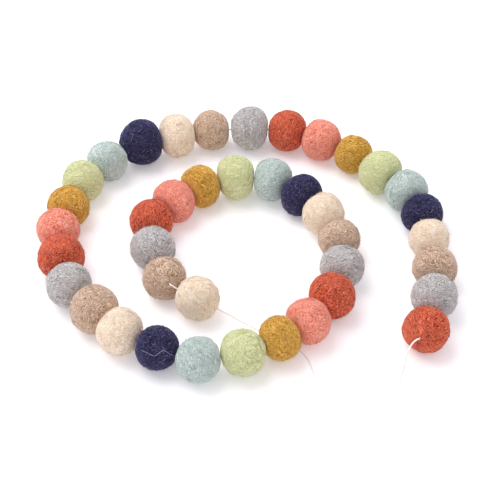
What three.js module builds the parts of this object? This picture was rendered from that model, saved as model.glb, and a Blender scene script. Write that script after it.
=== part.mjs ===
// Felt ball garland: wool felt balls in nine colours, threaded tight on one cotton
// thread and laid on a table in an open spiral, with both thread ends loose.
// Millimetres, +Z up. The table is z = 0, and the balls' box is centred on the origin.

import * as THREE from "three";

const THREAD_ACROSS = 0.9;
const THREAD_LIE = 0.5; // height of the thread's centre where it lies on the table
const NEEDLE_HOLE_ACROSS = 1.7;
const PIECE_GAP = 0.3;
const FLAT_SPOT_DEPTH = 0.5; // how far the table presses each ball flat
const BALL_SIDES = 12; // facets round the thread
const BALL_BANDS = 7; // facets from one needle hole to the other
const FACET_SWELL = 1.026; // corners stand out so that the flats between them average the round size
const THREAD_SIDES = 8;
const TAIL_STEP = 2.5;

const FELT_COLOURS = {
  rust: "#bf5a45",
  grey: "#aea6a4",
  tan: "#be9f87",
  cream: "#e6ceb4",
  navy: "#36324a",
  blue: "#aebbb5",
  green: "#c8ca96",
  mustard: "#c49246",
  coral: "#e68471",
};
const COTTON_COLOUR = "#f4f1ec";

// Each ball in thread order from the spiral's outer end: its diameter, and its centre's place on the table.
// The felt colours repeat along the thread in the order above. [across, x, y]
const BALLS = [
  [25, 97.5, -74.5],
  [25.5, 104.5, -50.5],
  [25, 107, -28.5],
  [23.5, 106.5, -4],
  [24.5, 104.5, 16],
  [26, 97, 35],
  [27, 83, 51.5],
  [24, 67.5, 70],
  [26, 48, 83],
  [26, 27.5, 92],
  [27, 4, 94],
  [25, -20.5, 93],
  [27, -42, 86.5],
  [28.5, -63, 79.5],
  [25, -83.5, 63],
  [25, -96.5, 45],
  [25, -103, 22],
  [25, -107, 3],
  [26.5, -102.5, -21],
  [25.5, -96, -42],
  [27, -80, -61],
  [26, -65.5, -76],
  [24, -45, -87],
  [24.5, -23, -95],
  [25, 0, -90.5],
  [24.5, 19.5, -80.5],
  [25.5, 34.5, -69],
  [26, 48.5, -50.5],
  [25, 55.5, -27.5],
  [24, 55, -5.5],
  [25, 46.5, 16],
  [25.5, 34.5, 31.5],
  [26, 17, 45.5],
  [27, -5, 47],
  [25.5, -26, 39.5],
  [26, -41.5, 25.5],
  [25.5, -53.5, 9.5],
  [25.5, -51.5, -13],
  [24.5, -43.5, -36.5],
  [24.5, -25, -51.5],
];

// Where the thread comes out of a ball that no neighbour presses, as a direction from its centre.
const OUTER_EXIT = [-0.4, -0.83, 0.38];
const LOOSE_EXIT = [0.3, -0.83, 0.47];
const INNER_ENTRY = [-0.9, 0.3, 0.3];
const INNER_EXIT = [0.9, -0.3, -0.38];

// The loose thread ends: down from their ball to the table, then along it. [x, y, z]
const OUTER_TAIL = [
  [91.2, -86.2, 17.5],
  [90.1, -86.7, 17],
  [88.9, -87, 15.5],
  [88.1, -87, 13.4],
  [87.2, -87, 10.4],
  [86.7, -87.2, 7.7],
  [86.3, -87.6, 5.2],
  [86, -88.2, 3],
  [85.6, -89.4, 1.2],
  [85, -91.2, THREAD_LIE],
  [83.9, -94.2, THREAD_LIE],
  [82.8, -97.9, THREAD_LIE],
  [81.6, -102.2, THREAD_LIE],
];
const INNER_TAIL = [
  [-10, -56.6, 5.7],
  [-6.3, -57.8, 4.4],
  [-2.1, -59.9, 3],
  [2.9, -61.9, 1.6],
  [7.9, -64.7, 0.8],
  [14.9, -68.9, THREAD_LIE],
  [23.2, -74.2, THREAD_LIE],
  [28, -77.8, THREAD_LIE],
  [30.9, -80.4, THREAD_LIE],
  [33.2, -83.1, THREAD_LIE],
  [34.9, -86.3, THREAD_LIE],
  [36.2, -90.5, THREAD_LIE],
  [37.2, -94.7, THREAD_LIE],
  [38.3, -98.8, THREAD_LIE],
  [38.9, -102.5, THREAD_LIE],
];

const vector = (coordinates) => new THREE.Vector3(...coordinates);
const UP = vector([0, 0, 1]);

// Every ball sits on the table with its flat spot down.
function placeBalls() {
  const felts = Object.keys(FELT_COLOURS);
  return BALLS.map(([across, x, y], index) => {
    const radius = across / 2;
    const centre = new THREE.Vector3(x, y, radius - FLAT_SPOT_DEPTH);
    return { felt: felts[index % felts.length], radius, centre };
  });
}

// Two neighbours press each other flat on the plane where their round surfaces cross.
function findContact(ball, next) {
  const normal = next.centre.clone().sub(ball.centre);
  const distance = normal.length();
  normal.normalize();
  const reach = (distance ** 2 + ball.radius ** 2 - next.radius ** 2) / (2 * distance);
  return { normal, point: ball.centre.clone().addScaledVector(normal, reach) };
}

// The turn that takes +Y to the thread's direction and keeps a facet facing the table.
function threadTurn(direction) {
  const along = direction.clone().normalize();
  const side = along.clone().cross(UP).normalize();
  const top = side.clone().cross(along);
  return new THREE.Quaternion().setFromRotationMatrix(new THREE.Matrix4().makeBasis(side, along, top));
}

// A round profile from needle hole to needle hole, closed along the hole's wall.
function ballProfile(radius) {
  const holeRadius = NEEDLE_HOLE_ACROSS / 2;
  const profile = [new THREE.Vector2(holeRadius, -radius)];
  for (let band = 1; band < BALL_BANDS; band += 1) {
    const angle = (band / BALL_BANDS) * Math.PI;
    profile.push(new THREE.Vector2(Math.sin(angle), -Math.cos(angle)).multiplyScalar(radius * FACET_SWELL));
  }
  profile.push(new THREE.Vector2(holeRadius, radius));
  profile.push(profile[0].clone());
  return profile;
}

// A ball lies level round its middle, and its ends lean so that the two needle holes face where
// the thread comes in and goes out. It is then pressed flat against its neighbours and the table.
function makeBall(ball, entry, exit, presses) {
  const geometry = new THREE.LatheGeometry(ballProfile(ball.radius), BALL_SIDES, Math.PI / BALL_SIDES);
  const turnLevel = threadTurn(exit.clone().sub(entry).setZ(0));
  const turnIn = threadTurn(entry.clone().negate());
  const turnOut = threadTurn(exit);
  const corners = geometry.attributes.position;
  const corner = new THREE.Vector3();
  const turn = new THREE.Quaternion();
  for (let index = 0; index < corners.count; index += 1) {
    corner.fromBufferAttribute(corners, index);
    const lean = Math.asin(THREE.MathUtils.clamp(corner.y / ball.radius, -1, 1)) / (Math.PI / 2);
    turn.slerpQuaternions(turnLevel, lean < 0 ? turnIn : turnOut, lean ** 2);
    corner.applyQuaternion(turn).add(ball.centre);
    for (const { point, normal } of presses) {
      const beyond = corner.clone().sub(point).dot(normal) + PIECE_GAP / 2;
      corner.addScaledVector(normal, -Math.max(beyond, 0));
    }
    corner.z = Math.max(corner.z, 0);
    corners.setXYZ(index, corner.x, corner.y, corner.z);
  }
  const color = FELT_COLOURS[ball.felt];
  const felt = new THREE.MeshStandardMaterial({ color, roughness: 0.95, metalness: 0 });
  return new THREE.Mesh(geometry, felt);
}

// A path that turns only at its listed points, each of which gets its own ring of the thread.
class StretchedPath extends THREE.Curve {
  constructor(points) {
    super();
    this.points = points;
  }

  getPoint(share, target = new THREE.Vector3()) {
    const place = share * (this.points.length - 1);
    const before = Math.min(Math.floor(place), this.points.length - 2);
    return target.lerpVectors(this.points[before], this.points[before + 1], place - before);
  }

  getUtoTmapping(share) {
    return share;
  }
}

function makeThread(path, steps) {
  const section = new THREE.Shape();
  for (let side = 0; side < THREAD_SIDES; side += 1) {
    const angle = (side / THREAD_SIDES) * 2 * Math.PI;
    const x = (Math.cos(angle) * THREAD_ACROSS) / 2;
    const y = (Math.sin(angle) * THREAD_ACROSS) / 2;
    if (side === 0) {
      section.moveTo(x, y);
    } else {
      section.lineTo(x, y);
    }
  }
  section.closePath();
  const geometry = new THREE.ExtrudeGeometry(section, { steps, extrudePath: path, curveSegments: 1 });
  const cotton = new THREE.MeshStandardMaterial({ color: COTTON_COLOUR, roughness: 0.85, metalness: 0 });
  return new THREE.Mesh(geometry, cotton);
}

// The point on a needle hole's line that is the given distance outside the ball's surface.
function holePoint(ball, direction, outside) {
  return ball.centre.clone().addScaledVector(vector(direction).normalize(), ball.radius + outside);
}

// A loose end starts in its ball's needle hole, one piece gap from the strung thread, and leaves it straight.
function makeTail(ball, direction, route) {
  const start = holePoint(ball, direction, 0);
  const clear = holePoint(ball, direction, THREAD_ACROSS);
  const path = new THREE.CatmullRomCurve3([start, clear, ...route.map(vector)]);
  return makeThread(path, Math.round(path.getLength() / TAIL_STEP));
}

const balls = placeBalls();
const contacts = balls.slice(1).map((next, index) => findContact(balls[index], next));

// Between the last two balls the thread is loose, so it doesn't pass their nearest points.
const tightContacts = contacts.slice(0, -1);
const forward = tightContacts.map(({ normal }) => normal);
const backward = forward.map((normal) => normal.clone().negate());
const entries = [vector(OUTER_EXIT), ...backward, vector(INNER_ENTRY)];
const exits = [...forward, vector(LOOSE_EXIT), vector(INNER_EXIT)];

const garland = new THREE.Group();
balls.forEach((ball, index) => {
  const presses = [];
  if (index > 0) {
    const { point, normal } = contacts[index - 1];
    presses.push({ point, normal: normal.clone().negate() });
  }
  if (index < contacts.length) {
    presses.push(contacts[index]);
  }
  const mesh = makeBall(ball, entries[index], exits[index], presses);
  mesh.name = `ball_${String(index + 1).padStart(2, "0")}`;
  garland.add(mesh);
});

const [secondLast, last] = balls.slice(-2);
const strungPoints = [
  holePoint(balls[0], OUTER_EXIT, -PIECE_GAP),
  ...tightContacts.map(({ point }) => point),
  holePoint(secondLast, LOOSE_EXIT, PIECE_GAP),
  holePoint(last, INNER_ENTRY, PIECE_GAP),
  holePoint(last, INNER_EXIT, -PIECE_GAP),
];
const strungThread = makeThread(new StretchedPath(strungPoints), strungPoints.length - 1);
strungThread.name = "thread_strung";
const outerTail = makeTail(balls[0], OUTER_EXIT, OUTER_TAIL);
outerTail.name = "thread_tail_outer";
const innerTail = makeTail(last, INNER_EXIT, INNER_TAIL);
innerTail.name = "thread_tail_inner";
garland.add(strungThread, outerTail, innerTail);

export default garland;
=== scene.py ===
import math

import bpy
import numpy as np
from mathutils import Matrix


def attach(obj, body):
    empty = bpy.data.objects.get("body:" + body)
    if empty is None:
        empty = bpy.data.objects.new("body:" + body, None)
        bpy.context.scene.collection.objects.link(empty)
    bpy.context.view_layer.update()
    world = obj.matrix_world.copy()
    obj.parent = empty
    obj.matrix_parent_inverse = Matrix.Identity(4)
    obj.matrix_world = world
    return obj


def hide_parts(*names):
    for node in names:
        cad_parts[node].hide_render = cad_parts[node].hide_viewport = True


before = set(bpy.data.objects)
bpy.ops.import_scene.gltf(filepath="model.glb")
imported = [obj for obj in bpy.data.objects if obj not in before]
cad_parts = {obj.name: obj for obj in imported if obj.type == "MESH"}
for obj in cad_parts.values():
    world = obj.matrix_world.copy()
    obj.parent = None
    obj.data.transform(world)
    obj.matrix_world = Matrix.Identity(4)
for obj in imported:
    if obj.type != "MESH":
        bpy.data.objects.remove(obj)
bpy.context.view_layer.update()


# Camera: the garland lies on a table and is seen from the front, a little under 45 degrees
# above the table, through a long lens.
CAMERA_PLACE = (0.0038, -0.5057, 0.4963)
CAMERA_ELEVATION_DEG = 44.58
CAMERA_LENS_MM = 87.57
SENSOR_MM = 36

scene = bpy.context.scene
camera_data = bpy.data.cameras.new("camera")
camera_data.sensor_width = SENSOR_MM
camera_data.lens = CAMERA_LENS_MM
camera = bpy.data.objects.new("camera", camera_data)
camera.location = CAMERA_PLACE
camera.rotation_euler = (math.radians(90 - CAMERA_ELEVATION_DEG), 0, 0)
scene.collection.objects.link(camera)
scene.camera = camera


# Places of the balls: every ball's spot on the table comes from the frame. Each ball is squeezed by
# its neighbours on the thread, so the plane between two of them is where their round surfaces cross.
MM = 0.001  # metres
BALL_NODES = sorted(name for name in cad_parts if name.startswith("ball_"))
FELT_ORDER = ["rust", "grey", "tan", "cream", "navy", "blue", "green", "mustard", "coral"]
BALL_FELTS = [FELT_ORDER[index % len(FELT_ORDER)] for index in range(len(BALL_NODES))]
FLAT_SPOT_DEPTH = 0.5  # mm that the table presses each ball flat
ROUND_SHARE = 0.519  # a round ball's radius, as a share of its faceted solid's height
TOP_FACET_DEPTH = 0.3  # mm, less than the next corners lie below the top facet

# Where the thread comes out of a ball that no neighbour presses, as directions from the ball's centre.
OUTER_EXIT = (-0.40, -0.83, 0.38)
LOOSE_EXIT = (0.30, -0.83, 0.47)
INNER_ENTRY = (-0.90, 0.30, 0.30)
INNER_EXIT = (0.90, -0.30, -0.38)


def unit(vectors):
    """Vectors divided by their lengths."""
    vectors = np.asarray(vectors, float)
    return vectors / np.linalg.norm(vectors, axis=-1, keepdims=True)


def ball_place(node):
    """Centre and radius in mm. The corners of the solid's top facet lie round the spot over its
    centre, and its height gives its radius."""
    corners = np.array([vertex.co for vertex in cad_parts[node].data.vertices]) / MM
    height = corners[:, 2].max()
    top = corners[corners[:, 2] > height - TOP_FACET_DEPTH].round(2)
    x, y = np.unique(top, axis=0)[:, :2].mean(axis=0)
    radius = ROUND_SHARE * height
    return np.array([x, y, radius - FLAT_SPOT_DEPTH]), radius


places = [ball_place(node) for node in BALL_NODES]
centres = np.array([centre for centre, radius in places])
radii = np.array([radius for centre, radius in places])
gaps = np.diff(centres, axis=0)
distances = np.linalg.norm(gaps, axis=1)
forward = gaps / distances[:, None]
reaches = (distances ** 2 + radii[:-1] ** 2 - radii[1:] ** 2) / (2 * distances)
contacts = centres[:-1] + forward * reaches[:, None]
exits = unit(np.vstack([forward[:-1], [LOOSE_EXIT], [INNER_EXIT]]))
entries = unit(np.vstack([[OUTER_EXIT], -forward[:-1], [INNER_ENTRY]]))


# Cotton thread: one length of white cotton, three plies twisted together, goes through every ball.
# It is pulled tight, apart from a short loose stretch before the last ball. Both ends hang from their
# ball to the table and lie there, cut off plain.
THREAD_ACROSS = 0.9
THREAD_LIE = 0.5  # mm from the table to the thread's centre where it lies
THREAD_SIDES = 12
PLIES = 3
PLY_TURN = 3.2  # mm of thread for one turn of its plies
PLY_GROOVE = 0.16  # depth of the grooves between plies, as a share of the radius
RING_STEP = 0.35
STRUNG_STEP = 0.9
HOLE_GAP = 0.3
OUTER_TAIL = [
    (91.2, -86.2, 17.5),
    (90.1, -86.7, 17),
    (88.9, -87, 15.5),
    (88.1, -87, 13.4),
    (87.2, -87, 10.4),
    (86.7, -87.2, 7.7),
    (86.3, -87.6, 5.2),
    (86, -88.2, 3),
    (85.6, -89.4, 1.2),
    (85, -91.2, THREAD_LIE),
    (83.9, -94.2, THREAD_LIE),
    (82.8, -97.9, THREAD_LIE),
    (81.6, -102.2, THREAD_LIE),
]
INNER_TAIL = [
    (-10, -56.6, 5.7),
    (-6.3, -57.8, 4.4),
    (-2.1, -59.9, 3),
    (2.9, -61.9, 1.6),
    (7.9, -64.7, 0.8),
    (14.9, -68.9, THREAD_LIE),
    (23.2, -74.2, THREAD_LIE),
    (28, -77.8, THREAD_LIE),
    (30.9, -80.4, THREAD_LIE),
    (33.2, -83.1, THREAD_LIE),
    (34.9, -86.3, THREAD_LIE),
    (36.2, -90.5, THREAD_LIE),
    (37.2, -94.7, THREAD_LIE),
    (38.3, -98.8, THREAD_LIE),
    (38.9, -102.5, THREAD_LIE),
]
COTTON_FIBRE = 0.25  # mm, coarser than single fibres so that it shows
COTTON_RELIEF = 0.08
COTTON = "#FDFBF7"
COTTON_SHADE = "#F2ECE4"


def srgb(hex_colour):
    """Linear RGBA of an sRGB hex colour."""
    value = np.array([int(hex_colour[start:start + 2], 16) for start in (1, 3, 5)]) / 255
    linear = np.where(value <= 0.04045, value / 12.92, ((value + 0.055) / 1.055) ** 2.4)
    return (*linear.tolist(), 1.0)


def add_node(tree, kind, inputs, **settings):
    """Adds a node with its settings. An input that is given an output is linked to it, and any other
    is set."""
    node = tree.nodes.new(kind)
    for name, value in settings.items():
        setattr(node, name, value)
    for name, value in inputs.items():
        if isinstance(value, bpy.types.NodeSocket):
            tree.links.new(value, node.inputs[name])
        else:
            node.inputs[name].default_value = value
    return node


def new_material(name):
    """An empty node material, its tree and its output node."""
    material = bpy.data.materials.new(name)
    material.use_nodes = True
    material.node_tree.nodes.clear()
    output = add_node(material.node_tree, "ShaderNodeOutputMaterial", {})
    return material, material.node_tree, output


def make_piece(name, corners, faces, materials, slots=None):
    """A smooth mesh object at the origin from corners in mm, faces and each face's material slot."""
    mesh = bpy.data.meshes.new(name)
    mesh.from_pydata((np.asarray(corners) * MM).tolist(), [], faces)
    for material in materials:
        mesh.materials.append(material)
    if slots is not None:
        mesh.polygons.foreach_set("material_index", np.asarray(slots, np.int32))
    mesh.shade_smooth()
    mesh.update()
    piece = bpy.data.objects.new(name, mesh)
    scene.collection.objects.link(piece)
    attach(piece, "root")
    return piece


def path_length(path):
    """Distance along a path from its start to each of its points."""
    steps = np.linalg.norm(np.diff(path, axis=0), axis=1)
    return np.concatenate([[0], np.cumsum(steps)])


def smooth_path(points, step):
    """Cubic curve through the points: between two of them it leaves and arrives along the slope that
    the points on either side give, and it is sampled at even steps of its chord length."""
    points = np.asarray(points, float)
    knots = path_length(points)
    slopes = np.gradient(points, knots, axis=0)
    along = np.linspace(0, knots[-1], round(knots[-1] / step) + 1)
    span = np.clip(np.searchsorted(knots, along, side="right") - 1, 0, len(points) - 2)
    width = (knots[span + 1] - knots[span])[:, None]
    share = (along - knots[span])[:, None] / width
    rise = share * share * (3 - 2 * share)
    leave = share * (1 - share) ** 2 * width
    arrive = share * share * (share - 1) * width
    path = points[span] * (1 - rise) + points[span + 1] * rise
    path = path + slopes[span] * leave + slopes[span + 1] * arrive
    path[:, 2] = np.maximum(path[:, 2], THREAD_LIE)
    return path


def stretched_path(points, step):
    """Straight lines between the points, with each corner rounded by averaging neighbours."""
    points = np.asarray(points, float)
    knots = path_length(points)
    along = np.linspace(0, knots[-1], round(knots[-1] / step) + 1)
    path = np.stack([np.interp(along, knots, points[:, axis]) for axis in range(3)], axis=1)
    path[1:-1] = (path[:-2] + 2 * path[1:-1] + path[2:]) / 4
    return path


def twisted_thread(path):
    """Rings of a section carried along a path. The section's radius dips between the plies, and the
    section turns once in every ply turn. A fan closes each end."""
    ahead = unit(np.gradient(path, axis=0))
    side = unit(np.cross(ahead, (0, 0, 1)))
    top = np.cross(side, ahead)
    angle = np.linspace(0, 2 * np.pi, THREAD_SIDES, endpoint=False)
    turn = 2 * np.pi * path_length(path)[:, None] / PLY_TURN
    lobe = np.abs(np.cos(PLIES / 2 * (angle[None, :] - turn)))
    radius = THREAD_ACROSS / 2 * (1 - PLY_GROOVE * (1 - lobe))
    across = np.cos(angle)[None, :, None] * side[:, None] + np.sin(angle)[None, :, None] * top[:, None]
    rings = path[:, None] + across * radius[..., None]
    count = len(path)
    corners = np.vstack([rings.reshape(-1, 3), path[:1], path[-1:]])
    ring, column = np.meshgrid(np.arange(count - 1), np.arange(THREAD_SIDES), indexing="ij")
    beside = (column + 1) % THREAD_SIDES
    first = ring * THREAD_SIDES
    below = first + THREAD_SIDES
    quads = np.stack([first + column, below + column, below + beside, first + beside], -1)
    column = np.arange(THREAD_SIDES)
    beside = (column + 1) % THREAD_SIDES
    last = (count - 1) * THREAD_SIDES
    start_point = np.full(THREAD_SIDES, count * THREAD_SIDES)
    start_fan = np.stack([start_point, column, beside], -1)
    end_fan = np.stack([start_point + 1, last + beside, last + column], -1)
    return corners, quads.reshape(-1, 4).tolist() + start_fan.tolist() + end_fan.tolist()


def cotton_thread():
    """Mercerised cotton: near white and matt, with fine fibres that shade it and a soft sheen."""
    material, tree, output = new_material("cotton_thread")
    place = add_node(tree, "ShaderNodeTexCoord", {})
    fibre = add_node(tree, "ShaderNodeTexNoise", {
        "Vector": place.outputs["Object"],
        "Scale": 1 / (COTTON_FIBRE * MM),
        "Detail": 3,
    })
    shade = add_node(tree, "ShaderNodeValToRGB", {"Fac": fibre.outputs["Fac"]})
    shade.color_ramp.elements[0].position = 0.3
    shade.color_ramp.elements[0].color = srgb(COTTON_SHADE)
    shade.color_ramp.elements[1].position = 0.55
    shade.color_ramp.elements[1].color = srgb(COTTON)
    bump = add_node(tree, "ShaderNodeBump", {
        "Height": fibre.outputs["Fac"],
        "Strength": 0.5,
        "Distance": COTTON_RELIEF * MM,
    })
    surface = add_node(tree, "ShaderNodeBsdfPrincipled", {
        "Base Color": shade.outputs["Color"],
        "Normal": bump.outputs["Normal"],
        "Roughness": 0.8,
        "Specular IOR Level": 0.25,
        "Sheen Weight": 0.2,
    })
    tree.links.new(surface.outputs["BSDF"], output.inputs["Surface"])
    return material


def hole_point(ball, direction, outside):
    """The point on a needle hole's line that is the given distance outside the ball's surface."""
    return centres[ball] + unit(direction) * (radii[ball] + outside)


cotton = cotton_thread()
for name, ball, direction, route in (
    ("thread_tail_outer", 0, OUTER_EXIT, OUTER_TAIL),
    ("thread_tail_inner", len(centres) - 1, INNER_EXIT, INNER_TAIL),
):
    start = hole_point(ball, direction, 0)
    path = smooth_path([start, hole_point(ball, direction, THREAD_ACROSS), *route], RING_STEP)
    tail = make_piece("cotton_" + name, *twisted_thread(path), [cotton])
    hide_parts(name)

strung_points = [
    hole_point(0, OUTER_EXIT, -HOLE_GAP),
    *contacts[:-1],
    hole_point(-2, LOOSE_EXIT, HOLE_GAP),
    hole_point(-1, INNER_ENTRY, HOLE_GAP),
    hole_point(-1, INNER_EXIT, -HOLE_GAP),
]
strung_path = stretched_path(strung_points, STRUNG_STEP)
strung = make_piece("cotton_thread_strung", *twisted_thread(strung_path), [cotton])
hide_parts("thread_strung")


# Felt balls: each is carded wool, wetted and rolled in the hands until it felts into a firm ball about
# 25 mm across. They are a little uneven, and flat where they press on each other and on the table.
BALL_COLUMNS = 64
BALL_RINGS = 38
POLE_CLOSENESS = 0.35  # rings draw together towards the needle holes by this share
SQUEEZE_SHARE = 0.85  # share of a ball's overlap that squeezes it, and the rest presses it flat
SQUEEZE_POWER = 2.5  # how steeply a squeeze grows from the ball's centre to its side
PRESS_GAP = 0.04  # mm from the plane between two neighbours to the felt of each
LOOSE_PAIR = 10  # index of the ball before the one place where two neighbours don't quite touch
LOOSE_GAP = 0.5
# By ball number, how many mm further along the thread than where two round balls cross its flat lies.
PRESS_SHIFTS = {
    2: 1.5,
    5: 0.5,
    6: 1,
    10: 1,
    12: 1,
    19: -1,
    25: 1,
    26: 1,
    27: 1,
    30: -0.5,
    31: 1,
    32: 1,
    34: -1,
    35: -2,
    36: -2.5,
}
PRESS_EDGE = 0.25  # mm over which a pressed flat rounds into the ball
NEEDLE_PIT_DEPTH = 0.9
NEEDLE_PIT_ACROSS = 0.75
LUMPS = [  # wave lengths in mm from and to, how many waves, total height in mm
    (10, 20, 10, 0.12),
    (4, 7, 24, 0.06),
    (2, 3, 40, 0.04),
]

felt_gaps = np.full(len(forward), PRESS_GAP)
felt_gaps[LOOSE_PAIR] = LOOSE_GAP
felt_reaches = reaches.copy()
for number, shift in PRESS_SHIFTS.items():
    felt_reaches[number - 1] += shift


def felt_lumps(ball):
    """Wave vectors, phases and heights of a ball's lumps, drawn for each size in the table."""
    random = np.random.default_rng(1000 + ball)
    waves = []
    phases = []
    heights = []
    for shortest, longest, count, height in LUMPS:
        lengths = random.uniform(shortest, longest, count)
        waves.append(unit(random.normal(size=(count, 3))) * (2 * np.pi / lengths)[:, None])
        phases.append(random.uniform(0, 2 * np.pi, count))
        heights.append(np.full(count, height * math.sqrt(2 / count)))
    return np.vstack(waves), np.concatenate(phases), np.concatenate(heights)


def soft_limit(value, limit):
    """The smaller of the value and the limit, with a rounded corner between them."""
    return limit - PRESS_EDGE * np.logaddexp(0, (limit - value) / PRESS_EDGE)


def felt_surface(ball, directions):
    """Points of a ball's surface in the given directions from its centre: the radius plus a sum of plane
    waves, less a pit at each needle hole. Towards each neighbour and the table, a power of the
    distance from the centre squeezes the ball, and then a plane presses it flat."""
    waves, phases, heights = felt_lumps(ball)
    reach = radii[ball] + np.sin(radii[ball] * directions @ waves.T + phases) @ heights
    for hole in (entries[ball], exits[ball]):
        from_hole = radii[ball] * np.linalg.norm(directions - hole, axis=-1)
        reach = reach - NEEDLE_PIT_DEPTH * np.exp(-(from_hole / NEEDLE_PIT_ACROSS) ** 2)
    points = directions * reach[..., None]
    presses = [((0, 0, -1), centres[ball][2])]
    if ball > 0:
        before = distances[ball - 1] - felt_reaches[ball - 1]
        presses.append((-forward[ball - 1], before - felt_gaps[ball - 1]))
    if ball < len(forward):
        presses.append((forward[ball], felt_reaches[ball] - felt_gaps[ball]))
    for normal, limit in presses:
        normal = np.array(normal)
        along = points @ normal
        squeeze = SQUEEZE_SHARE * max(radii[ball] - limit, 0)
        squeezed = along - squeeze * np.clip(along / radii[ball], 0, None) ** SQUEEZE_POWER
        points = points + (soft_limit(squeezed, limit) - along)[..., None] * normal
    return centres[ball] + points


def ball_grid(ball):
    """Directions on a grid of rings round the thread's way through the ball, one ring for each angle from
    the hole's direction, with single corners at both ends. The faces join neighbouring rings."""
    axis = -entries[ball] if ball == 0 else exits[ball]
    side = unit(np.cross(axis, (0, 0, 1)))
    top = np.cross(side, axis)
    share = np.arange(1, BALL_RINGS) / BALL_RINGS
    polar = np.pi * (share - POLE_CLOSENESS * np.sin(2 * np.pi * share) / (2 * np.pi))
    round_angle = np.linspace(0, 2 * np.pi, BALL_COLUMNS, endpoint=False)
    across = np.cos(round_angle)[:, None] * side + np.sin(round_angle)[:, None] * top
    rings = np.sin(polar)[:, None, None] * across + np.cos(polar)[:, None, None] * axis
    directions = np.vstack([rings.reshape(-1, 3), axis, -axis])
    ring, column = np.meshgrid(np.arange(BALL_RINGS - 2), np.arange(BALL_COLUMNS), indexing="ij")
    beside = (column + 1) % BALL_COLUMNS
    first = ring * BALL_COLUMNS
    below = first + BALL_COLUMNS
    quads = np.stack([first + column, below + column, below + beside, first + beside], -1).reshape(-1, 4)
    column = np.arange(BALL_COLUMNS)
    beside = (column + 1) % BALL_COLUMNS
    last = (BALL_RINGS - 2) * BALL_COLUMNS
    first_pole = np.full(BALL_COLUMNS, len(directions) - 2)
    start_fan = np.stack([first_pole, column, beside], -1)
    end_fan = np.stack([first_pole + 1, last + beside, last + column], -1)
    return directions, quads.tolist() + start_fan.tolist() + end_fan.tolist()


# Each felt: the deep colour painted as shade in the pits between strands, the colour of its body, and the
# colour of its top strands.
FELT_COLOURS = {
    "rust": ("#842816", "#DC6446", "#F08C70"),
    "grey": ("#8A8584", "#C2BCBA", "#E2DEDC"),
    "tan": ("#98785F", "#D6B69D", "#EBD6C4"),
    "cream": ("#DFC3A4", "#F8E5CD", "#FDF1E2"),
    "navy": ("#121026", "#2C2A48", "#5C5A84"),
    "blue": ("#96A7A1", "#C2D0C9", "#DCE6E2"),
    "green": ("#B8BB7E", "#DADDA8", "#E8EAC4"),
    "mustard": ("#9A6818", "#DCA744", "#ECC278"),
    "coral": ("#CC6654", "#FD9C84", "#FDBDAC"),
}
STRAND_SPACE = 0.48  # mm between wisps of fibres, coarser than single fibres so that wisps show
STRAND_STRETCH = 3.2  # how much longer than wide a loop of a wisp is
STRAND_TURNS_DEG = [(0, 0, 0), (70, 20, 50)]
ROW_SPACE = 0.85  # mm between the rows that rolling lays wisps in
SWIRL_SIZE = 5  # mm across a swirl of wisps
SWIRL_SHIFT = 1.5  # mm that a swirl moves them
PIT_SIZE = 0.48  # mm across a pit between wisps, coarser than real so that it shows
PATCH_SIZE = 7  # mm across a paler or darker patch
FELT_RELIEF = 0.5  # mm from a pit to the top of a wisp


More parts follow.
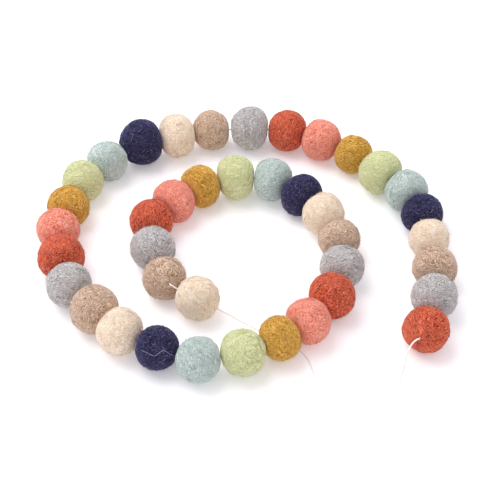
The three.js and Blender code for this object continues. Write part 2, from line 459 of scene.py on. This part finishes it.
def wool_felt(felt):
    """Wet-felted wool: tangled wisps of fibre in several directions, painted darker in the pits between
    them as shade and paler on their tops, matt with a soft sheen. The pattern is in mm of the ball's own
    coordinates, which the mesh carries."""
    deep, body, pale = FELT_COLOURS[felt]
    material, tree, output = new_material("wool_felt_" + felt)
    place = add_node(tree, "ShaderNodeAttribute", {}, attribute_name="felt_mm")
    swirl = add_node(tree, "ShaderNodeTexNoise", {
        "Vector": place.outputs["Vector"],
        "Scale": 1 / SWIRL_SIZE,
        "Detail": 2,
    })
    centred = add_node(tree, "ShaderNodeVectorMath", {
        0: swirl.outputs["Color"],
        1: (0.5, 0.5, 0.5),
    }, operation="SUBTRACT")
    shift = add_node(tree, "ShaderNodeVectorMath", {
        0: centred.outputs["Vector"],
        "Scale": 4 * SWIRL_SHIFT,
    }, operation="SCALE")
    swirled = add_node(tree, "ShaderNodeVectorMath", {
        0: place.outputs["Vector"],
        1: shift.outputs["Vector"],
    }, operation="ADD")
    strands = None
    for turn in STRAND_TURNS_DEG:
        stretch = add_node(tree, "ShaderNodeMapping", {
            "Vector": swirled.outputs["Vector"],
            "Rotation": [math.radians(angle) for angle in turn],
            "Scale": (1, 1 / STRAND_STRETCH, 1 / STRAND_STRETCH),
        })
        streak = add_node(tree, "ShaderNodeTexNoise", {
            "Vector": stretch.outputs["Vector"],
            "Scale": 0.7 / STRAND_SPACE,
            "Detail": 1,
            "Roughness": 0.5,
            "Offset": 1.0,
            "Gain": 2.0,
        }, noise_type="RIDGED_MULTIFRACTAL", normalize=False)
        if strands is None:
            strands = streak.outputs["Fac"]
        else:
            both = {0: strands, 1: streak.outputs["Fac"]}
            strands = add_node(tree, "ShaderNodeMath", both, operation="MAXIMUM").outputs[0]
    pits = add_node(tree, "ShaderNodeTexNoise", {
        "Vector": swirled.outputs["Vector"],
        "Scale": 1 / PIT_SIZE,
        "Detail": 1.5,
    })
    level = add_node(tree, "ShaderNodeMapRange", {"Value": strands, "From Min": 0.7, "From Max": 1.6})
    tangle = add_node(tree, "ShaderNodeMix", {
        "Factor": 0.4,
        2: level.outputs["Result"],
        3: pits.outputs["Fac"],
    })
    rows = add_node(tree, "ShaderNodeTexWave", {
        "Vector": swirled.outputs["Vector"],
        "Scale": math.pi / (10 * ROW_SPACE),
        "Distortion": 3.5,
        "Detail": 2,
        "Detail Scale": 1.5,
    })
    height = add_node(tree, "ShaderNodeMix", {
        "Factor": 0.25,
        2: tangle.outputs[0],
        3: rows.outputs["Fac"],
    })
    patch = add_node(tree, "ShaderNodeTexNoise", {
        "Vector": place.outputs["Vector"],
        "Scale": 1 / PATCH_SIZE,
        "Detail": 1,
    })
    patchy = add_node(tree, "ShaderNodeMath", {
        0: patch.outputs["Fac"],
        1: 0.12,
        2: -0.06,
    }, operation="MULTIPLY_ADD")
    tone = add_node(tree, "ShaderNodeMath", {
        0: height.outputs[0],
        1: patchy.outputs[0],
    }, operation="ADD")
    # The colour follows the relief: painted shade darkens the pits, and the raised wisps are paler.
    colour = add_node(tree, "ShaderNodeValToRGB", {"Fac": tone.outputs[0]})
    colour.color_ramp.elements[0].position = 0.29
    colour.color_ramp.elements[0].color = srgb(deep)
    colour.color_ramp.elements[1].position = 0.76
    colour.color_ramp.elements[1].color = srgb(pale)
    middle = colour.color_ramp.elements.new(0.53)
    middle.color = srgb(body)
    roughness = add_node(tree, "ShaderNodeMapRange", {
        "Value": height.outputs[0],
        "To Min": 1.0,
        "To Max": 0.85,
    })
    bump = add_node(tree, "ShaderNodeBump", {
        "Height": height.outputs[0],
        "Strength": 0.8,
        "Distance": FELT_RELIEF * MM,
    })
    surface = add_node(tree, "ShaderNodeBsdfPrincipled", {
        "Base Color": colour.outputs["Color"],
        "Roughness": roughness.outputs["Result"],
        "Normal": bump.outputs["Normal"],
        "Specular IOR Level": 0.15,
        "Sheen Weight": 1.0,
        "Sheen Roughness": 0.4,
        "Sheen Tint": srgb(pale),
    })
    tree.links.new(surface.outputs["BSDF"], output.inputs["Surface"])
    return material


felts = {felt: wool_felt(felt) for felt in FELT_ORDER}
for ball, node in enumerate(BALL_NODES):
    directions, faces = ball_grid(ball)
    corners = felt_surface(ball, directions)
    piece = make_piece("felt_" + node, corners, faces, [felts[BALL_FELTS[ball]]])
    random = np.random.default_rng(2000 + ball)
    turn = np.linalg.qr(random.normal(size=(3, 3)))[0]
    own = (corners - centres[ball]) @ turn + random.uniform(-500, 500, 3)
    attribute = piece.data.attributes.new("felt_mm", "FLOAT_VECTOR", "POINT")
    attribute.data.foreach_set("vector", own.ravel().astype(np.float32))
    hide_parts(node)


# Loose wool: strands that lie on the felt, half sunk in it, and short fibres that stand up from it, as
# wool has after rolling. Each felt has its own in three shades of its colour.
STRANDS_PER_BALL = 150
STRAND_POINTS = 7
STRAND_LENGTHS = (3, 8)
STRAND_WIDTHS = (0.14, 0.3)  # mm, wisps of several fibres so that they show
STRAND_WANDERS = (0.1, 0.6)  # mm to either side of its way
STRAND_CYCLES = (0.5, 1.4)
STRAND_LIFT = 0.09  # mm above the felt at its middle
STRAND_DIP = 0.2  # mm lower at its ends
FUZZ_PER_BALL = 800
FUZZ_LENGTHS = (0.5, 1.9)
FUZZ_RISES = (0.15, 0.75)
FUZZ_WIDTHS = (0.07, 0.12)  # mm, wider than single fibres so that they show
FUZZ_ROOT = 0.12  # mm below the felt
FIBRE_SIDES = 3
TABLE_CLEARANCE = 0.1
TABLE_ROOM = 1.0  # mm above the table in which no fibre starts
NEIGHBOUR_ROOM = 0.4  # mm from a neighbour's flat in which no fibre starts


def wool_fibre(felt, shade, colour):
    """One shade of dyed wool fibre: matt, with a soft sheen along its edge."""
    material, tree, output = new_material("wool_fibre_" + felt + "_" + shade)
    surface = add_node(tree, "ShaderNodeBsdfPrincipled", {
        "Base Color": srgb(colour),
        "Roughness": 0.9,
        "Specular IOR Level": 0.15,
        "Sheen Weight": 0.25,
    })
    tree.links.new(surface.outputs["BSDF"], output.inputs["Surface"])
    return material


def fibre_tubes(paths, outward, widths, taper):
    """Closed thin tubes of a three-sided section carried along many paths at once. paths is fibres by
    points by 3, outward a direction across each fibre, widths its thickness, and taper the share of
    that at each point."""
    ahead = unit(np.gradient(paths, axis=1))
    side = unit(np.cross(ahead, outward[:, None]))
    top = np.cross(side, ahead)
    angle = np.linspace(0, 2 * np.pi, FIBRE_SIDES, endpoint=False) + np.pi / 2
    radius = widths[:, None] / 2 * np.asarray(taper)
    across = np.cos(angle)[:, None] * side[:, :, None] + np.sin(angle)[:, None] * top[:, :, None]
    corners = paths[:, :, None] + across * radius[:, :, None, None]
    count, points = paths.shape[:2]
    own = points * FIBRE_SIDES
    ring, column = np.meshgrid(np.arange(points - 1), np.arange(FIBRE_SIDES), indexing="ij")
    beside = (column + 1) % FIBRE_SIDES
    first = ring * FIBRE_SIDES
    below = first + FIBRE_SIDES
    quads = np.stack([first + column, below + column, below + beside, first + beside], -1).reshape(-1, 4)
    caps = np.array([np.arange(FIBRE_SIDES), own - 1 - np.arange(FIBRE_SIDES)])
    start = (np.arange(count) * own)[:, None, None]
    return corners.reshape(-1, 3), start + quads, start + caps


def swirl_heading(random, directions):
    """Directions along the surface: round an axis that turns smoothly from place to place."""
    axis = random.normal(size=3)
    wave = random.normal(size=(3, 3)) * 2.2
    drift = np.sin(directions @ wave + random.uniform(0, 2 * np.pi, 3))
    return unit(np.cross(directions, axis + 1.3 * drift))


def free_spots(ball, directions):
    """True where the felt is pressed by nothing, so that a fibre there has room to stand."""
    free = centres[ball][2] + radii[ball] * directions[:, 2] > TABLE_ROOM
    if ball > 0:
        before = distances[ball - 1] - felt_reaches[ball - 1]
        free &= radii[ball] * directions @ -forward[ball - 1] < before - NEIGHBOUR_ROOM
    if ball < len(forward):
        free &= radii[ball] * directions @ forward[ball] < felt_reaches[ball] - NEIGHBOUR_ROOM
    return free


def lying_strands(ball):
    """Wisps on the surface: each runs along the swirl in a shallow wave, and dips into the felt at
    its ends."""
    random = np.random.default_rng(3000 + ball)
    start = unit(random.normal(size=(STRANDS_PER_BALL, 3)))
    start = start[free_spots(ball, start)]
    heading = swirl_heading(random, start)
    beside = np.cross(start, heading)
    count = len(start)
    length = random.uniform(*STRAND_LENGTHS, count)[:, None]
    wander = random.uniform(*STRAND_WANDERS, count)[:, None] / radii[ball]
    cycles = random.uniform(*STRAND_CYCLES, count)[:, None]
    phase = random.uniform(0, 2 * np.pi, count)[:, None]
    share = np.linspace(-0.5, 0.5, STRAND_POINTS)
    angle = share * length / radii[ball]
    drift = wander * np.sin(2 * np.pi * cycles * share + phase)
    way = np.cos(angle)[..., None] * start[:, None] + np.sin(angle)[..., None] * heading[:, None]
    way = unit(way + drift[..., None] * beside[:, None])
    lift = STRAND_LIFT - STRAND_DIP * (2 * share) ** 4
    paths = felt_surface(ball, way.reshape(-1, 3)).reshape(way.shape) + way * lift[:, None]
    widths = random.uniform(*STRAND_WIDTHS, count)
    return fibre_tubes(paths, start, widths, np.cos(share * 2.6)), random.integers(0, 3, count)


def standing_fuzz(ball):
    """Short hairs: each leaves the felt at a slant, bends over and tapers to its tip."""
    random = np.random.default_rng(4000 + ball)
    root = unit(random.normal(size=(FUZZ_PER_BALL, 3)))
    root = root[free_spots(ball, root)]
    count = len(root)
    heading = unit(np.cross(root, random.normal(size=(count, 3))))
    beside = np.cross(root, heading)
    length = random.uniform(*FUZZ_LENGTHS, count)[:, None]
    rise = random.uniform(*FUZZ_RISES, count)[:, None] * np.sqrt(length)
    bend = random.uniform(-0.5, 0.5, count)[:, None] * length
    droop = random.uniform(0.5, 1.3, count)[:, None]
    base = felt_surface(ball, root)
    low = base - FUZZ_ROOT * root
    middle = base + 0.45 * length * heading + 0.7 * rise * root
    tip = base + length * heading + bend * beside + droop * rise * root
    paths = np.stack([low, middle, tip], axis=1)
    paths[..., 2] = np.maximum(paths[..., 2], TABLE_CLEARANCE)
    widths = random.uniform(*FUZZ_WIDTHS, count)
    return fibre_tubes(paths, root, widths, (1, 0.8, 0.25)), random.integers(0, 3, count)


def joined_fibres(name, bundles, materials):
    """One piece from bundles of fibres, each bundle being its tubes and each fibre's material slot."""
    corners = []
    faces = []
    slots = []
    total = 0
    for (points, quads, caps), shade in bundles:
        corners.append(points)
        faces += (total + quads).reshape(-1, 4).tolist()
        faces += (total + caps).reshape(-1, FIBRE_SIDES).tolist()
        slots += [np.repeat(shade, quads.shape[1]), np.repeat(shade, caps.shape[1])]
        total += len(points)
    return make_piece(name, np.vstack(corners), faces, materials, np.concatenate(slots))


for felt in FELT_ORDER:
    named = zip(("deep", "body", "pale"), FELT_COLOURS[felt])
    shades = [wool_fibre(felt, shade, colour) for shade, colour in named]
    worn_by = [index for index, worn in enumerate(BALL_FELTS) if worn == felt]
    bundles = [make(ball) for ball in worn_by for make in (lying_strands, standing_fuzz)]
    joined_fibres("loose_wool_" + felt, bundles, shades)


# Pale lint: navy wool picks up light fibres from the other balls, so those balls carry short pale arcs
# of it. The nearest one also has a long wavy hair across its front.
LINT_PER_BALL = 180
LINT_POINTS = 5
LINT_LENGTHS = (1, 3)
LINT_BOW = 0.9  # mm that an arc's ends bend sideways at most
LINT_WIDTHS = (0.05, 0.1)  # mm, wider than single fibres so that they show
LINT_LIFT = 0.1
LINT_PALE = "#D2D0E0"
LINT_FAINT = "#9A98B8"
HAIR_BALL = 22  # index of the navy ball nearest the camera
HAIR_WIDTH = 0.17  # mm, wider than real so that it shows
HAIR_LIFT = 0.12
HAIR_POINTS = 49
HAIR_WAY = [  # directions from the ball's centre
    (-0.57, -0.61, 0.55),
    (-0.31, -0.77, 0.55),
    (-0.04, -0.87, 0.49),
    (0.13, -0.81, 0.56),
    (0.35, -0.68, 0.64),
    (0.54, -0.69, 0.48),
    (0.81, -0.58, 0.11),
]


def lint_arcs(ball):
    """Short fibres lying on the felt: each bends evenly sideways, so that it makes an arc."""
    random = np.random.default_rng(5000 + ball)
    start = unit(random.normal(size=(LINT_PER_BALL, 3)))
    start = start[free_spots(ball, start)]
    count = len(start)
    heading = unit(np.cross(start, random.normal(size=(count, 3))))
    beside = np.cross(start, heading)
    share = np.linspace(-0.5, 0.5, LINT_POINTS)
    angle = share * random.uniform(*LINT_LENGTHS, count)[:, None] / radii[ball]
    bow = random.uniform(-LINT_BOW, LINT_BOW, count)[:, None] / radii[ball] * (4 * share ** 2)
    way = unit(start[:, None] + angle[..., None] * heading[:, None] + bow[..., None] * beside[:, None])
    paths = felt_surface(ball, way.reshape(-1, 3)).reshape(way.shape) + LINT_LIFT * way
    widths = random.uniform(*LINT_WIDTHS, count)
    return fibre_tubes(paths, start, widths, (0.5, 1, 1, 1, 0.5)), random.integers(0, 2, count)


def wavy_hair():
    """One long fibre: a smooth curve through its listed directions, carried just above the felt."""
    knots = np.arange(len(HAIR_WAY))
    slopes = np.gradient(np.array(HAIR_WAY), axis=0)
    along = np.linspace(0, knots[-1], HAIR_POINTS)
    span = np.minimum(along.astype(int), knots[-1] - 1)
    share = (along - span)[:, None]
    rise = share * share * (3 - 2 * share)
    way = np.array(HAIR_WAY)[span] * (1 - rise) + np.array(HAIR_WAY)[span + 1] * rise
    way = way + slopes[span] * share * (1 - share) ** 2 + slopes[span + 1] * share ** 2 * (share - 1)
    way = unit(way)
    path = felt_surface(HAIR_BALL, way) + HAIR_LIFT * way
    middle = way[len(way) // 2][None]
    return fibre_tubes(path[None], middle, np.array([HAIR_WIDTH]), np.ones(len(path))), np.array([0])


lint_shades = [wool_fibre("lint", "pale", LINT_PALE), wool_fibre("lint", "faint", LINT_FAINT)]
navy_balls = [index for index, worn in enumerate(BALL_FELTS) if worn == "navy"]
lint = joined_fibres("pale_lint", [lint_arcs(ball) for ball in navy_balls] + [wavy_hair()], lint_shades)


# Table and light: a white table top under a large soft light from the far left and a bright room.
FLOOR_SIDE = 4000
FLOOR_WHITE = "#F4F3F5"
FLOOR_GLOW = 0.24  # the top is lit from below too, which keeps shadows faint
KEY_PLACE = (-0.5, 0.35, 1.0)
KEY_SIDE = 1.0
KEY_WATTS = 9.5
ROOM_STRENGTH = 0.84
ROOM_WHITE = "#FBFAFF"

floor_material, floor_tree, floor_output = new_material("white_table_top")
floor_surface = add_node(floor_tree, "ShaderNodeBsdfPrincipled", {
    "Base Color": srgb(FLOOR_WHITE),
    "Roughness": 0.9,
    "Specular IOR Level": 0.1,
    "Emission Color": srgb(FLOOR_WHITE),
    "Emission Strength": FLOOR_GLOW,
})
floor_tree.links.new(floor_surface.outputs["BSDF"], floor_output.inputs["Surface"])
floor_mesh = bpy.data.meshes.new("table_top")
half = FLOOR_SIDE * MM / 2
floor_corners = [(-half, -half, 0), (half, -half, 0), (half, half, 0), (-half, half, 0)]
floor_mesh.from_pydata(floor_corners, [], [(0, 1, 2, 3)])
floor_mesh.materials.append(floor_material)
floor = bpy.data.objects.new("table_top", floor_mesh)
scene.collection.objects.link(floor)

key_data = bpy.data.lights.new("key_light", "AREA")
key_data.size = KEY_SIDE
key_data.energy = KEY_WATTS
key = bpy.data.objects.new("key_light", key_data)
key.location = KEY_PLACE
key.rotation_euler = (-key.location).to_track_quat("-Z", "Y").to_euler()
scene.collection.objects.link(key)

world = bpy.data.worlds.new("bright_room")
world.use_nodes = True
world.node_tree.nodes["Background"].inputs["Color"].default_value = srgb(ROOM_WHITE)
world.node_tree.nodes["Background"].inputs["Strength"].default_value = ROOM_STRENGTH
scene.world = world
scene.view_settings.view_transform = "Standard"
